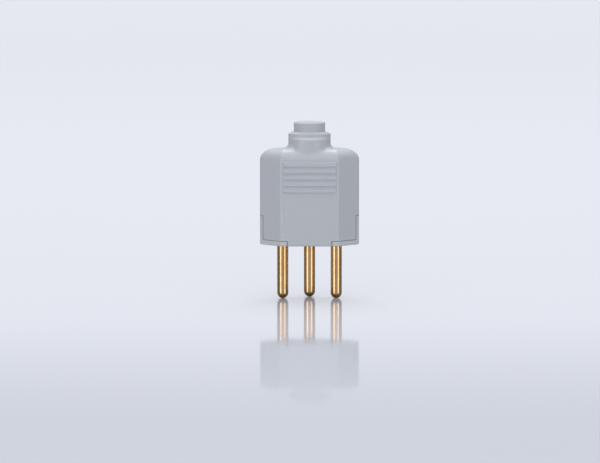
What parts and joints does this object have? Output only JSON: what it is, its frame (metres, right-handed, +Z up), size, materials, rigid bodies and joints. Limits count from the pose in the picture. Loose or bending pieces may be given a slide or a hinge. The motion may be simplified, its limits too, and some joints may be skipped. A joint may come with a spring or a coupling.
{
  "type": "three-pin plug",
  "caption": "Rewirable three-pin plug with round brass pins, a long hexagonal two-shell housing with grip ribs, and a stepped neck for the cord.",
  "frame": {"origin": "on the level of the pin tips, at the middle of the housing's outline, halfway between the line and neutral pins", "axes": "+Z up from the pin tips to the neck, +X from the line pin to the neutral pin, +Y from the front cover to the rear base"},
  "size_m": [0.0352, 0.0174, 0.0628],
  "materials": {
    "housing": "satin",
    "sleeve": "satin",
    "clamp": "matte",
    "pin_brass": "polished",
    "leaf_brass": "satin",
    "screw_steel": "satin"
  },
  "bodies": {
    "root": {"rear_base": "housing", "front_cover": "housing", "cord_sleeve": "sleeve", "cord_clamp_bar": "clamp", "line_pin": "pin_brass", "neutral_pin": "pin_brass", "earth_pin": "pin_brass", "line_wire_guard": "leaf_brass", "neutral_wire_guard": "leaf_brass", "earth_wire_guard": "leaf_brass", "case_nut_left": "leaf_brass", "case_nut_right": "leaf_brass", "line_terminal_screw": "screw_steel", "neutral_terminal_screw": "screw_steel", "earth_terminal_screw": "screw_steel", "case_screw_left": "screw_steel", "case_screw_right": "screw_steel", "cord_clamp_screw_left": "screw_steel", "cord_clamp_screw_right": "screw_steel"}
  },
  "joints": []
}
